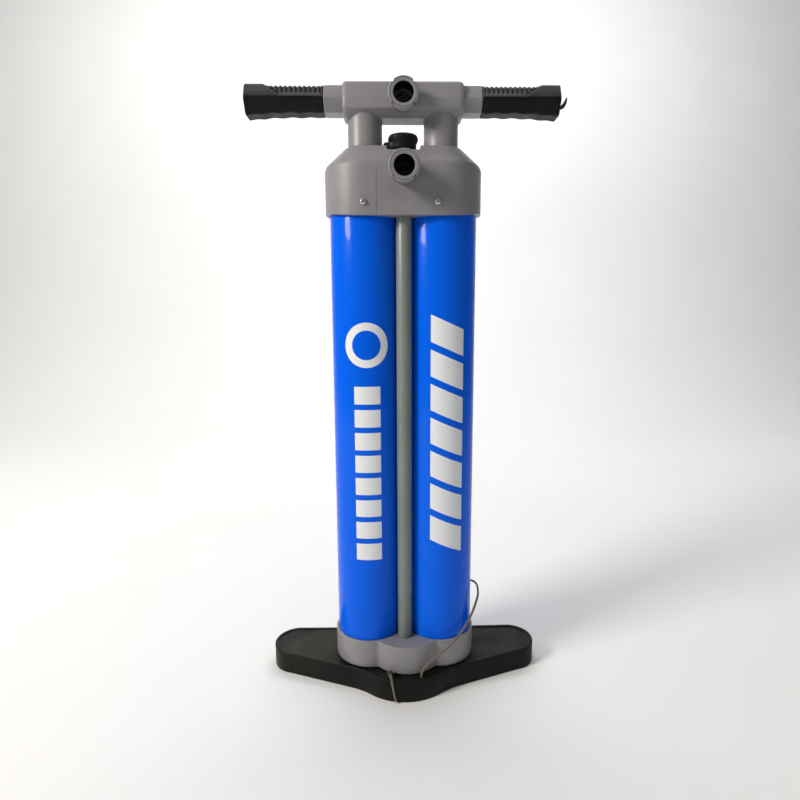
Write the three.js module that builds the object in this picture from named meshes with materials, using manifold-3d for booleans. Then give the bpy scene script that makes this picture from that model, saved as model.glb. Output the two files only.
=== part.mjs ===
// Twin-barrel hand inflation pump: two barrels side by side between a head and a base on a foot plate, with
// one T-handle that drives both pistons. Millimetres, +Z up, the hose ports face -Y, and the origin is on
// the floor, midway between the two barrel axes. The handle is modelled pushed all the way down.
import * as THREE from "three";
import { mergeVertices } from "three/addons/utils/BufferGeometryUtils.js";
import Module from "manifold-3d";

const wasm = await Module();
wasm.setup();

// ---- Driving dimensions -------------------------------------------------------------------------------
const HALF_PITCH = 38.75; // from the middle plane to each barrel's axis
const BARREL_R = 37.5;
const BARREL_WALL = 2.5;
const BORE_R = BARREL_R - BARREL_WALL;
const SHAFT_R = 17.5;
const SHAFT_WALL = 3;
const GAP = 0.3; // between pieces that touch

const FOOT_TOP = 25;
const FOOT_WALL = 3;
const BASE_TOP = 56;
const BASE_R = 40.25;
const BASE_FLOOR = 35; // the barrels stand on this level inside the base
const HEAD_BOTTOM = 508;
const HEAD_SHOULDER = 559.5;
const HEAD_TOP = 578;
const HEAD_R = 41.75;
const HEAD_SEAT = 528; // the barrels end against this level inside the head
const HEAD_ROOF = 545; // the ceiling of each chamber
const LIP_RISE = 5.5; // how far the lower edge climbs from the front to the two ends

const FRONT_LOBE = { x: 2, y: -12.5, r: 41.5 }; // the base's boss around the transfer tube
const TUBE = { y: -27, r: 8, wall: 1.6, bottom: 42, top: 526, seat: 2.6 };

const PORT = { ductR: 9, boreR: 9.75, tubeR: 12.5, flangeR: 15, flangeL: 6 };
const LOWER_PORT = { z: 549, root: -30, face: -64 };
const UPPER_PORT = { z: 622.5, root: -14, face: -35 };

const HANDLE = { bottom: 606.3, halfLength: 60, neckEnd: 79, gripEnd: 158, midZ: 624.7 };
const SPIGOT = { r: 10, end: 146 };

const KNOB = { r: 15.6, bottom: 574, top: 592.2 };
// Sides of the round pieces: the large cylinders, the ordinary ones and the holes and screws.
const SMOOTH = 32;
const ROUND = 20;
const SMALL = 10;
const LEASH_R = 1.25;
const LEASH_HOLE = { x: 17, y: -56.3, r: 2.5 };
const LEASH_BRIDGE_AT = { y: -55, z: 18.2 }; // where the leash crosses the middle under the foot plate

// ---- Colours and finishes -----------------------------------------------------------------------------
const finish = (color, roughness, metalness = 0) =>
  new THREE.MeshStandardMaterial({ color, roughness, metalness });
const GREY_PLASTIC = finish(0x7b7a7e, 0.45);
const BLUE_BARREL = finish(0x0a5cf0, 0.18);
const GREY_TUBE = finish(0x7f8681, 0.35);
const BLACK_PLASTIC = finish(0x1f211f, 0.55);
const BLACK_RUBBER = finish(0x171716, 0.8);
const STEEL = finish(0xc8c8c4, 0.3, 1);
const WHITE_NYLON = finish(0xe6e4da, 0.5);
const TAN_CORD = finish(0xb7a48c, 0.9);

// ---- Solids -------------------------------------------------------------------------------------------
// A closed three.js geometry as a manifold-3d solid.
function solid(geometry) {
  const bare = geometry.index ? geometry.toNonIndexed() : geometry.clone();
  bare.deleteAttribute("normal");
  bare.deleteAttribute("uv");
  const merged = mergeVertices(bare, 1e-4);
  return new wasm.Manifold(
    new wasm.Mesh({
      numProp: 3,
      vertProperties: merged.attributes.position.array,
      triVerts: new Uint32Array(merged.index.array),
    }),
  );
}

// A manifold-3d solid as a three.js geometry.
function geometryOf(body) {
  const mesh = body.getMesh();
  const positions = new Float32Array(mesh.numVert * 3);
  for (let i = 0; i < mesh.numVert; i++) {
    const at = i * mesh.numProp;
    positions.set(mesh.vertProperties.subarray(at, at + 3), i * 3);
  }
  const indexed = new THREE.BufferGeometry();
  indexed.setAttribute("position", new THREE.BufferAttribute(positions, 3));
  indexed.setIndex(new THREE.BufferAttribute(new Uint32Array(mesh.triVerts), 1));
  const flat = indexed.toNonIndexed();
  flat.computeVertexNormals();
  return flat;
}

const join = (...geometries) =>
  geometries.map(solid).reduce((all, next) => all.add(next));
const cut = (body, ...geometries) =>
  geometries.map(solid).reduce((left, next) => left.subtract(next), body);

// A solid of revolution about +Z from [radius, height] pairs, the outer side listed going up.
function turned(profile, segments = ROUND) {
  const points = profile.map(([r, z]) => new THREE.Vector2(r, z));
  return new THREE.LatheGeometry(points, segments).rotateX(Math.PI / 2);
}
const disc = (r, z0, z1, segments) =>
  turned([[0, z0], [r, z0], [r, z1], [0, z1]], segments);
const tube = (rOut, rIn, z0, z1, segments) =>
  turned([[rIn, z0], [rOut, z0], [rOut, z1], [rIn, z1], [rIn, z0]], segments);

const box = (x0, x1, y0, y1, z0, z1) =>
  new THREE.BoxGeometry(x1 - x0, y1 - y0, z1 - z0).translate(
    (x0 + x1) / 2, (y0 + y1) / 2, (z0 + z1) / 2);

function prism(shape, z0, z1, curveSegments = 12) {
  const settings = { depth: z1 - z0, bevelEnabled: false, curveSegments };
  return new THREE.ExtrudeGeometry(shape, settings).translate(0, 0, z0);
}

// A round bar along Y, from y0 to y1, at height z.
const barAlongY = (geometry, x, y0, z) =>
  geometry.rotateX(-Math.PI / 2).translate(x, y0, z);

// The outline round two circles a and b, each { x, y, r }.
function roundTwo(a, b) {
  const away = Math.hypot(b.x - a.x, b.y - a.y);
  const heading = Math.atan2(b.y - a.y, b.x - a.x);
  const spread = Math.acos((a.r - b.r) / away);
  const shape = new THREE.Shape();
  shape.absarc(b.x, b.y, b.r, heading - spread, heading + spread, false);
  shape.absarc(a.x, a.y, a.r, heading + spread, heading - spread + 2 * Math.PI, false);
  shape.closePath();
  return shape;
}

// A skin over rings of points; each ring has the same number of points, and both ends are closed flat.
function loft(rings) {
  const n = rings[0].length;
  const positions = rings.flat().flat();
  const faces = [];
  for (let s = 0; s < rings.length - 1; s++) {
    for (let i = 0; i < n; i++) {
      const [a, b] = [s * n + i, s * n + ((i + 1) % n)];
      faces.push(a, b, b + n, a, b + n, a + n);
    }
  }
  const last = (rings.length - 1) * n;
  for (let i = 1; i < n - 1; i++) {
    faces.push(0, i + 1, i);
    faces.push(last, last + i, last + i + 1);
  }
  const geometry = new THREE.BufferGeometry();
  geometry.setAttribute("position", new THREE.Float32BufferAttribute(positions, 3));
  geometry.setIndex(faces);
  return geometry;
}

const pump = new THREE.Group();
function part(name, shape, material) {
  const geometry = shape.isBufferGeometry ? shape : geometryOf(shape);
  const mesh = new THREE.Mesh(geometry, material);
  mesh.name = name;
  pump.add(mesh);
  return mesh;
}

const SIDES = [["left", -1], ["right", 1]];

// ---- Foot plate: an upside-down tray with a front lobe, a rear lobe and two swept wings ----------------
const footOutline = (inset) => [
  roundTwo({ x: 40, y: -1, r: 44 - inset }, { x: 127, y: 15.5, r: 28 - inset }),
  roundTwo({ x: -127, y: 15.5, r: 28 - inset }, { x: -40, y: -1, r: 44 - inset }),
  new THREE.Shape().absarc(0, -5, 60.5 - inset, Math.PI, 2 * Math.PI, false),
  new THREE.Shape().absarc(0, 12, 38 - inset, 0, 2 * Math.PI, false),
];
const footSlab = (inset, z0, z1) =>
  join(...footOutline(inset).map((shape) => prism(shape, z0, z1, 9)));

const FOOT_SCREWS = [];
for (const x of [-HALF_PITCH, HALF_PITCH]) for (const y of [-19, 21]) FOOT_SCREWS.push([x, y]);

function footPlate() {
  const inside = footSlab(FOOT_WALL, -1, FOOT_TOP - FOOT_WALL);
  const ribs = [box(-150, 150, -1.5, 1.5, 0, FOOT_TOP - 1), box(-1.5, 1.5, -70, 45, 0, FOOT_TOP - 1)];
  for (const x of [-120, -88, -56, 56, 88, 120]) {
    ribs.push(box(x - 1.2, x + 1.2, -50, 45, 0, FOOT_TOP - 1));
  }
  for (const [x, y] of FOOT_SCREWS) ribs.push(disc(6, 8, FOOT_TOP - 1, SMALL).translate(x, y, 0));
  const ribbed = join(...ribs).intersect(footSlab(0.5, 0, FOOT_TOP - 1));
  let body = footSlab(0, 0, FOOT_TOP).subtract(inside).add(ribbed);
  const bridgeWay = disc(LEASH_R + 0.5, -4, 4, SMALL).rotateY(Math.PI / 2);
  body = cut(body, bridgeWay.translate(0, LEASH_BRIDGE_AT.y, LEASH_BRIDGE_AT.z));
  for (const [x, y] of FOOT_SCREWS) {
    body = cut(body, disc(2.1, -1, FOOT_TOP + 1, SMALL).translate(x, y, 0));
    body = cut(body, disc(4.2, -1, 12, SMALL).translate(x, y, 0));
  }
  for (const side of [-1, 1]) {
    body = cut(body, disc(LEASH_HOLE.r, FOOT_TOP - 5, FOOT_TOP + 1, SMALL)
      .translate(side * LEASH_HOLE.x, LEASH_HOLE.y, 0));
    body = body.subtract(treadRecess(side));
  }
  return body;
}

// A shallow recess on top of each wing, set in from its edge and stopping short of the base.
const TREAD = { inset: 6, depth: 1.2, roundBase: 49 };
function treadRecess(side) {
  const wing = roundTwo({ x: 40, y: -1, r: 44 - TREAD.inset }, { x: 127, y: 15.5, r: 28 - TREAD.inset });
  const recess = cut(
    solid(prism(wing, FOOT_TOP - TREAD.depth, FOOT_TOP + 1, 6)),
    disc(TREAD.roundBase, 0, FOOT_TOP + 2).translate(HALF_PITCH, 0, 0),
    box(-60, HALF_PITCH, -80, 80, 0, FOOT_TOP + 2),
  );
  return side > 0 ? recess : recess.mirror([1, 0, 0]);
}
part("foot_plate", footPlate(), BLACK_PLASTIC);

// ---- Base: two barrel sockets and the front lobe that carries the transfer tube ------------------------
function baseManifold() {
  const z0 = FOOT_TOP + GAP;
  const body = join(
    disc(BASE_R, z0, BASE_TOP, SMOOTH).translate(-HALF_PITCH, 0, 0),
    disc(BASE_R, z0, BASE_TOP, SMOOTH).translate(HALF_PITCH, 0, 0),
    disc(FRONT_LOBE.r, z0, BASE_TOP, SMOOTH).translate(FRONT_LOBE.x, FRONT_LOBE.y, 0),
    box(-22, 22, 0, 30, z0, BASE_TOP),
  );
  const cuts = [
    disc(TUBE.r + GAP, TUBE.bottom - TUBE.seat, BASE_TOP + 1).translate(0, TUBE.y, 0),
    disc(4, 29.5, TUBE.bottom, SMALL).translate(0, TUBE.y, 0),
    disc(2.6, -28, 28, SMALL).rotateY(Math.PI / 2).translate(0, -25, 31),
  ];
  for (const [, side] of SIDES) {
    cuts.push(disc(BARREL_R + GAP, BASE_FLOOR, BASE_TOP + 1, SMOOTH).translate(side * HALF_PITCH, 0, 0));
    cuts.push(disc(3, z0 - 1, BASE_FLOOR + 1, SMALL).translate(side * HALF_PITCH, 0, 0));
    cuts.push(disc(2.4, 30.5, BASE_FLOOR + 1, SMALL).translate(side * 25, -25, 0));
  }
  for (const [x, y] of FOOT_SCREWS) cuts.push(disc(1.9, z0 - 1, 33, SMALL).translate(x, y, 0));
  return cut(body, ...cuts);
}
part("base_manifold", baseManifold(), GREY_PLASTIC);

// ---- Barrels, their end gaskets and the bottom flap valves --------------------------------------------
const HEAD_SCREWS = [
  ["head_screw_front_left", -40, -1], ["head_screw_front_right", 33, -1],
  ["head_screw_rear_left", -HALF_PITCH, 1], ["head_screw_rear_right", HALF_PITCH, 1],
];
const SCREW_Z = 520.5;
const screwHole = (x, side, r) =>
  barAlongY(disc(r, 0, 12, SMALL), x, side > 0 ? 32 : -44, SCREW_Z);

const GASKET = 2;
for (const [name, side] of SIDES) {
  const x = side * HALF_PITCH;
  const shell = cut(
    solid(tube(BARREL_R, BORE_R, BASE_FLOOR + GASKET + 2 * GAP, HEAD_SEAT - GASKET - 2 * GAP, SMOOTH)
      .translate(x, 0, 0)),
    ...HEAD_SCREWS.filter(([, sx]) => sx * side > 0).map(([, sx, face]) => screwHole(sx, face, 1.8)),
  );
  part("barrel_" + name, shell, BLUE_BARREL);
  part("bottom_gasket_" + name,
    tube(BARREL_R, BORE_R, BASE_FLOOR + GAP, BASE_FLOOR + GAP + GASKET).translate(x, 0, 0), BLACK_RUBBER);
  part("top_gasket_" + name,
    tube(BARREL_R, BORE_R, HEAD_SEAT - GAP - GASKET, HEAD_SEAT - GAP).translate(x, 0, 0), BLACK_RUBBER);
  part("bottom_valve_" + name,
    turned([[0, 27], [2.6, 27], [2.6, BASE_FLOOR + GAP], [13, BASE_FLOOR + GAP], [12, 37.2], [0, 38.4]], 14)
      .translate(x, 0, 0), BLACK_RUBBER);
}

const ringAtTube = (rIn, z0, z1) => tube(TUBE.r, rIn, z0, z1).translate(0, TUBE.y, 0);
part("transfer_tube", ringAtTube(TUBE.r - TUBE.wall, TUBE.bottom, TUBE.top), GREY_TUBE);
part("tube_gasket_bottom", ringAtTube(4.6, TUBE.bottom - TUBE.seat + GAP, TUBE.bottom - GAP), BLACK_RUBBER);
part("tube_gasket_top", ringAtTube(4.6, TUBE.top + GAP, TUBE.top + TUBE.seat - GAP), BLACK_RUBBER);

// ---- Head: a stadium-shaped cap whose sloped shoulders rise to the two shaft holes ---------------------
function stadiumRing(r, z) {
  const points = [];
  const steps = 14;
  for (const side of [1, -1]) {
    for (let i = 0; i <= steps; i++) {
      const angle = ((i / steps) - 0.5) * Math.PI;
      points.push([side * (HALF_PITCH + r * Math.cos(angle)), side * r * Math.sin(angle), z]);
    }
  }
  return points;
}

// What is taken off below the lip so that its lower edge climbs toward one end.
function lipArch(side) {
  const end = HEAD_R + 1;
  const points = [new THREE.Vector2(side * HALF_PITCH, HEAD_BOTTOM - 1)];
  for (let i = 0; i <= 6; i++) {
    const away = (i / 6) * end;
    const z = HEAD_BOTTOM + LIP_RISE * (away / HEAD_R) ** 2;
    points.push(new THREE.Vector2(side * (HALF_PITCH + away), z));
  }
  points.push(new THREE.Vector2(side * (HALF_PITCH + end), HEAD_BOTTOM - 1));
  return prism(new THREE.Shape(points), -60, 60).rotateX(Math.PI / 2);
}

function pumpHead() {
  const cap = loft([
    stadiumRing(HEAD_R, HEAD_BOTTOM), stadiumRing(HEAD_R, HEAD_SHOULDER - 3.5),
    stadiumRing(HEAD_R - 1.5, HEAD_SHOULDER), stadiumRing(SHAFT_R + 3.5, HEAD_TOP),
  ]);
  const saddled = cut(solid(cap), box(-17, 17, -60, 60, HEAD_TOP - 5.5, HEAD_TOP + 1));
  const body = saddled.add(solid(disc(16.5, HEAD_SHOULDER, KNOB.bottom - GAP)));
  const cuts = [
    disc(TUBE.r + GAP, HEAD_BOTTOM - 1, TUBE.top + TUBE.seat).translate(0, TUBE.y, 0),
    barAlongY(disc(PORT.tubeR + GAP, 0, 20, 24), 0, LOWER_PORT.root - 20, LOWER_PORT.z),
    barAlongY(disc(PORT.ductR, 0, 22), 0, LOWER_PORT.root - 1, LOWER_PORT.z),
    barAlongY(disc(4, 0, 28, SMALL), 0, LOWER_PORT.root - 1, 552),
    disc(3.5, TUBE.top, 552, SMALL).translate(0, -24, 0),
    disc(3.2, 550, HEAD_TOP, SMALL),
  ];
  for (const [, side] of SIDES) {
    const x = side * HALF_PITCH;
    cuts.push(lipArch(side));
    cuts.push(disc(BARREL_R + GAP, HEAD_BOTTOM - 1, HEAD_SEAT, SMOOTH).translate(x, 0, 0));
    cuts.push(disc(BORE_R, HEAD_SEAT - 1, HEAD_ROOF, ROUND).translate(x, 0, 0));
    cuts.push(disc(24, HEAD_ROOF - 1, 563).translate(x, 0, 0));
    cuts.push(disc(SHAFT_R + 1, 562, HEAD_TOP + 1, 24).translate(x, 0, 0));
    cuts.push(disc(2.3, HEAD_ROOF - 1, HEAD_TOP, SMALL).translate(x, 29.5, 0));
  }
  for (const [, x, face] of HEAD_SCREWS) cuts.push(screwHole(x, face, 1.8));
  return cut(body, ...cuts);
}
part("pump_head", pumpHead(), GREY_PLASTIC);

for (const [name, x, face] of HEAD_SCREWS) {
  const profile = [[0, 0], [1.45, 0], [1.45, 6.5], [3, 6.5], [2.6, 8.2], [0, 8.9]];
  const screw = turned(profile, SMALL).rotateX(face > 0 ? -Math.PI / 2 : Math.PI / 2);
  part(name, screw.translate(x, face * (HEAD_R + GAP - 6.5), SCREW_Z), STEEL);
}

// ---- Hose ports: short pipes with a bayonet flange -----------------------------------------------------
function hosePort({ z, root, face }) {
  const length = root - face;
  const pipe = tube(PORT.tubeR, PORT.boreR, 0, length - 1, 24);
  const flange = turned([[PORT.boreR, length - PORT.flangeL], [PORT.flangeR, length - PORT.flangeL],
    [PORT.flangeR, length - 1], [PORT.flangeR - 1, length], [PORT.boreR + 0.8, length],
    [PORT.boreR, length - 0.8], [PORT.boreR, length - PORT.flangeL]], 24);
  let body = join(pipe, flange);
  for (const turn of [0.25, 0.75, 1.25, 1.75]) {
    const notch = box(PORT.flangeR - 1.6, PORT.flangeR + 1, -2, 2, length - PORT.flangeL - 1, length + 1);
    body = cut(body, notch.rotateZ(turn * Math.PI));
  }
  return geometryOf(body).rotateX(Math.PI / 2).translate(0, root, z);
}
part("deflate_port", hosePort(LOWER_PORT), GREY_PLASTIC);
part("inflate_port", hosePort(UPPER_PORT), GREY_PLASTIC);

// ---- Shaft guides and top valves in the head ----------------------------------------------------------
for (const [name, side] of SIDES) {
  const x = side * HALF_PITCH;
  part("shaft_seal_" + name, tube(23.5, SHAFT_R + 0.5, 557.5, 562.5).translate(x, 0, 0), BLACK_RUBBER);
  part("shaft_bush_" + name, tube(23.7, SHAFT_R + 0.4, HEAD_ROOF - 3, 557).translate(x, 0, 0), WHITE_NYLON);
  part("top_valve_" + name,
    turned([[0, HEAD_ROOF - 3], [3.2, HEAD_ROOF - 2.6], [4.8, HEAD_ROOF - 1.4], [4.8, HEAD_ROOF - GAP],
      [1.9, HEAD_ROOF - GAP], [1.9, 551], [0, 551]], SMALL).translate(x, 29.5, 0), BLACK_RUBBER);
}

// ---- Mode selector: a knob with a thumb lobe on a spindle between the domes ----------------------------
function selectorKnob() {
  const body = turned([[0, KNOB.bottom + 6], [8, KNOB.bottom + 6], [12.6, KNOB.bottom + 8],
    [KNOB.r, KNOB.top - 5], [KNOB.r, KNOB.top - 2.6], [KNOB.r - 1.4, KNOB.top], [0, KNOB.top]], 24);
  const skirt = disc(12.4, KNOB.bottom, KNOB.bottom + 10);
  const lobe = prism(roundTwo({ x: 0, y: 0, r: 9.5 }, { x: -13.6, y: 0, r: 6.8 }),
    HEAD_TOP + 0.5, KNOB.top - 6.5, 8);
  return cut(join(body, skirt, lobe), disc(3.2, KNOB.bottom - 1, KNOB.bottom + 12, SMALL));
}
part("selector_knob", selectorKnob(), BLACK_PLASTIC);
part("selector_spindle", disc(2.9, 557, KNOB.bottom + 10, SMALL), WHITE_NYLON);

// ---- Handle: a faceted body with a neck and a spigot at each side --------------------------------------
// Facets of the body and of the neck as [y, z] pairs, anticlockwise seen from +X.
const BODY_FACETS = [[-11, 606.3], [11, 606.3], [21, 613], [21.5, 622], [17.5, 637.5], [13.5, 640],
  [-13.5, 640], [-17.5, 637.5], [-21.5, 622], [-21, 613]];
const NECK_FACETS = [[-9, 612], [9, 612], [17, 623.5], [10, 637.5], [-10, 637.5], [-17, 623.5]];
const section = (facets, x, size = 1) =>
  facets.map(([y, z]) => [x, y * size, HANDLE.midZ + (z - HANDLE.midZ) * size]);

function handleBody() {
  const bevel = 3.5;
  const bodySkin = loft([
    section(BODY_FACETS, -HANDLE.halfLength, 0.93), section(BODY_FACETS, -HANDLE.halfLength + bevel),
    section(BODY_FACETS, HANDLE.halfLength - bevel), section(BODY_FACETS, HANDLE.halfLength, 0.93),
  ]);
  const neck = loft([section(NECK_FACETS, -HANDLE.neckEnd), section(NECK_FACETS, HANDLE.neckEnd)]);
  const spigot = disc(SPIGOT.r, -SPIGOT.end, SPIGOT.end).rotateY(Math.PI / 2).translate(0, 0, HANDLE.midZ);
  const cuts = [
    barAlongY(disc(PORT.tubeR + GAP, 0, 20, 24), 0, UPPER_PORT.root - 20, UPPER_PORT.z),
    barAlongY(disc(PORT.ductR, 0, 17), 0, UPPER_PORT.root - 1, UPPER_PORT.z),
  ];
  for (const [, side] of SIDES) {
    cuts.push(disc(SHAFT_R + GAP, HANDLE.bottom - 1, 622, 24).translate(side * HALF_PITCH, 0, 0));
  }
  cuts.push(disc(6.5, -HALF_PITCH, HALF_PITCH, SMALL).rotateY(Math.PI / 2).translate(0, 0, 615.5));
  return cut(join(bodySkin, neck, spigot), ...cuts);
}
part("handle_body", handleBody(), GREY_PLASTIC);

// Each grip is a rubber cap with finger waves underneath and a flared end.
function grip(side) {
  const stations = 10;
  const rings = [];
  for (let s = 0; s <= stations; s++) {
    const t = s / stations;
    const x = HANDLE.neckEnd + GAP + t * (HANDLE.gripEnd - HANDLE.neckEnd - GAP);
    const wave = 0.5 * Math.sin(t * 4 * 2 * Math.PI);
    const flare = 3 * t ** 3;
    const tuck = t === 1 ? 0.9 : 1;
    rings.push(NECK_FACETS.map(([y, z]) => {
      const low = z < HANDLE.midZ - 5;
      return [x, y * 1.02 * tuck, HANDLE.midZ + (z - HANDLE.midZ - (low ? flare + wave : 0)) * tuck];
    }));
  }
  const bore = disc(SPIGOT.r + GAP, 70, SPIGOT.end + 1).rotateY(Math.PI / 2).translate(0, 0, HANDLE.midZ);
  const body = cut(solid(loft(rings)), bore);
  return side > 0 ? body : body.mirror([1, 0, 0]);
}
for (const [name, side] of SIDES) part("grip_" + name, grip(side), BLACK_RUBBER);

// A short cord end that hangs out of the right grip's cap.
const TAG_ROUTE = [[158.5, 0, 619], [162, -1, 620.5], [165, -1, 624], [167.2, -1, 630]];
const tagPath = new THREE.CatmullRomCurve3(TAG_ROUTE.map((p) => new THREE.Vector3(...p)));
const roundSection = (r, sides) => {
  const points = [];
  for (let i = 0; i < sides; i++) {
    const angle = (2 * Math.PI * i) / sides;
    points.push(new THREE.Vector2(r * Math.cos(angle), r * Math.sin(angle)));
  }
  return new THREE.Shape(points);
};
const cordTube = (curve, r, steps) =>
  new THREE.ExtrudeGeometry(roundSection(r, 8), { steps, extrudePath: curve, bevelEnabled: false });
part("grip_tail", cordTube(tagPath, 1.2, 6), BLACK_RUBBER);

// ---- Shafts and pistons -------------------------------------------------------------------------------
const PISTON = { bottom: 42.5, top: 56.5 };
for (const [name, side] of SIDES) {
  const x = side * HALF_PITCH;
  part("shaft_" + name,
    tube(SHAFT_R, SHAFT_R - SHAFT_WALL, PISTON.top + GAP, 621.5, 24).translate(x, 0, 0), GREY_PLASTIC);
  const groove = [[BORE_R - 0.6, PISTON.bottom], [BORE_R - 0.6, 46], [31.5, 46], [31.5, 52.5],
    [BORE_R - 0.6, 52.5], [BORE_R - 0.6, PISTON.top], [4.5, PISTON.top], [4.5, PISTON.bottom],
    [BORE_R - 0.6, PISTON.bottom]];
  part("piston_" + name, turned(groove).translate(x, 0, 0), WHITE_NYLON);
  part("piston_seal_" + name, tube(BORE_R - 0.3, 31.8, 46.3, 52.2).translate(x, 0, 0), BLACK_RUBBER);
  part("piston_bolt_" + name,
    turned([[0, 39.6], [7, 39.6], [7, PISTON.bottom - GAP], [4.2, PISTON.bottom - GAP], [4.2, 62],
      [SHAFT_R - SHAFT_WALL - GAP, 62], [SHAFT_R - SHAFT_WALL - GAP, 74], [0, 74]], 16)
      .translate(x, 0, 0), STEEL);
}

// ---- Screws that hold the foot plate to the base ------------------------------------------------------
FOOT_SCREWS.forEach(([x, y], i) => {
  const profile = [[0, 9.4], [3.7, 9.4], [3.7, 11.7], [1.6, 11.7], [1.6, 32.5], [0, 32.5]];
  part("foot_screw_" + (i + 1), turned(profile, SMALL).translate(x, y, 0), STEEL);
});

// ---- Leash: a thin cord knotted through the foot plate's two front holes -------------------------------
const curveThrough = (points) =>
  new THREE.CatmullRomCurve3(points.map((p) => new THREE.Vector3(...p)), false, "centripetal");
const LEASH_ROUTE = [
  [17, -56.3, 25.6], [17.6, -56.2, 30], [23, -54.8, 36.5], [36, -50.5, 45.5], [49, -45.2, 53.5],
  [60.5, -37, 62], [71.5, -26.5, 72.5], [81, -12.5, 84], [86, 2, 92], [84.5, 16.5, 95.5], [76.5, 28, 93],
  [63.5, 36, 88], [48, 40, 82], [33, 39.8, 76], [20, 35, 70], [10, 29.5, 64.5], [3.5, 28, 60],
  [1, 30.5, 58], [0.5, 34.8, 54.5], [1.5, 38.5, 46], [3.5, 42.5, 34], [7, 47.5, 28], [13, 52.5, 23.5],
  [20, 56, 14], [26, 59.5, 6.5], [30, 61.8, 3.9],
];
part("leash_cord", cordTube(curveThrough(LEASH_ROUTE), LEASH_R, 56), TAN_CORD);
const LEASH_BRIDGE = [
  [-17, -56.3, 26.2], [-17, -56.3, 23.7], [-15.4, -56, 19.8], [-11.5, -55.5, 18.2],
  [0, LEASH_BRIDGE_AT.y, LEASH_BRIDGE_AT.z],
  [11.5, -55.5, 18.2], [15.4, -56, 19.8], [17, -56.3, 23.7], [17, -56.3, 25.3],
];
part("leash_bridge", cordTube(curveThrough(LEASH_BRIDGE), LEASH_R, 12), TAN_CORD);
const COIL = { x: 27.7, y: 82.8, rOut: 19.5, rIn: 8.5, top: 5.4 };
part("leash_coil", tube(COIL.rOut, COIL.rIn, 0.2, COIL.top).translate(COIL.x, COIL.y, 0), TAN_CORD);
part("leash_knot", new THREE.SphereGeometry(3.4, 12, 8).translate(-17, -56.3, 30), TAN_CORD);
const LEASH_TAIL = [
  [-16.6, -59.9, 30], [-16, -62.6, 29.6], [-15, -64.8, 27.4], [-14, -65.6, 22], [-12.6, -66.4, 12],
  [-10.8, -66.8, 2.4],
];
part("leash_tail", cordTube(curveThrough(LEASH_TAIL), LEASH_R, 8), TAN_CORD);
part("leash_end_knot", new THREE.SphereGeometry(3, 12, 8).translate(COIL.x - 26, COIL.y, 3.2), TAN_CORD);

export default pump;
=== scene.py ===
"""Twin-barrel hand inflation pump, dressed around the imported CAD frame.

Numbers are millimetres in the CAD's own frame, with the front at -Y, unless a comment says otherwise.
MM turns them into Blender's metres.
"""
import math

import bmesh
import bpy
from mathutils import Matrix, Vector


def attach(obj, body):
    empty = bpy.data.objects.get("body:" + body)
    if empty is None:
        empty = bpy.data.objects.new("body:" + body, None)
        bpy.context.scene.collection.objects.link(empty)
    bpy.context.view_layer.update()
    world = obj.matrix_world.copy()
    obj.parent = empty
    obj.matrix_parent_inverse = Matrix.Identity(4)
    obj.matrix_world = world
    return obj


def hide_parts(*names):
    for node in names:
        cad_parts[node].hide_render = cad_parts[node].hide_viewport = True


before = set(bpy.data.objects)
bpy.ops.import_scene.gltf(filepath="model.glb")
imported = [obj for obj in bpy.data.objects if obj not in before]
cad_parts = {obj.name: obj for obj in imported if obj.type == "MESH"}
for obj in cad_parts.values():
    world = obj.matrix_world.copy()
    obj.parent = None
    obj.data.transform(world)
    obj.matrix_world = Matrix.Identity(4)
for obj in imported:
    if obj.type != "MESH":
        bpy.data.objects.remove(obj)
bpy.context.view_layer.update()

MM = 0.001
SIDES = (("left", -1), ("right", 1))
FINE = 96  # sides of a turned shape that is seen close up
FIT = 0.3  # gap between a part and its socket

FOOT_TOP = 25.0
HALF_PITCH, BARREL_R = 38.75, 37.5  # the barrels' axes from the middle, and their outer radius
TUBE_Y, TUBE_R = -27.0, 8.0  # the transfer tube in the front crevice
SHAFT_R = 17.5
HEAD_R, HEAD_BOTTOM, HEAD_TOP = 41.75, 508.0, 578.0
PORT_BORE_R, PORT_R, FLANGE_R, FLANGE_L = 9.75, 12.5, 15.0, 6.0
DUCT_R = 9.0  # the way in behind each hose port
LOWER_PORT = {"z": 549.0, "root": -30.0, "face": -64.0}
UPPER_PORT = {"z": 622.5, "root": -14.0, "face": -35.0}
HANDLE_Z = 624.7  # the axis of the necks and grips
LEASH_D = 2.5

# ---- Camera: in front of the barrels at two thirds of the pump's height, tilted slightly down -----------
CAMERA_AWAY, CAMERA_HIGH = 610.1, 414.6
YAW, PITCH, ROLL = math.radians(1.2), math.radians(8.92), math.radians(-0.19)
LENS, SENSOR = 25.2612, 36


def make_camera():
    """The scene's camera, turned towards the pump by yaw, pitch and roll."""
    data = bpy.data.cameras.new("camera")
    data.sensor_width = SENSOR
    data.lens = LENS
    data.shift_x = -0.0048
    data.clip_start = 0.02
    camera = bpy.data.objects.new("camera", data)
    bpy.context.collection.objects.link(camera)
    right = Vector((math.cos(YAW), -math.sin(YAW), 0))
    ahead = Vector((math.sin(YAW) * math.cos(PITCH), math.cos(YAW) * math.cos(PITCH), -math.sin(PITCH)))
    up = right.cross(ahead)
    tilted_right = right * math.cos(ROLL) + up * math.sin(ROLL)
    tilted_up = up * math.cos(ROLL) - right * math.sin(ROLL)
    turn = Matrix((tilted_right, tilted_up, -ahead)).transposed().to_4x4()
    place = Vector((-CAMERA_AWAY * math.sin(YAW), -CAMERA_AWAY * math.cos(YAW), CAMERA_HIGH)) * MM
    camera.matrix_world = Matrix.Translation(place) @ turn
    bpy.context.scene.camera = camera


make_camera()


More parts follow.
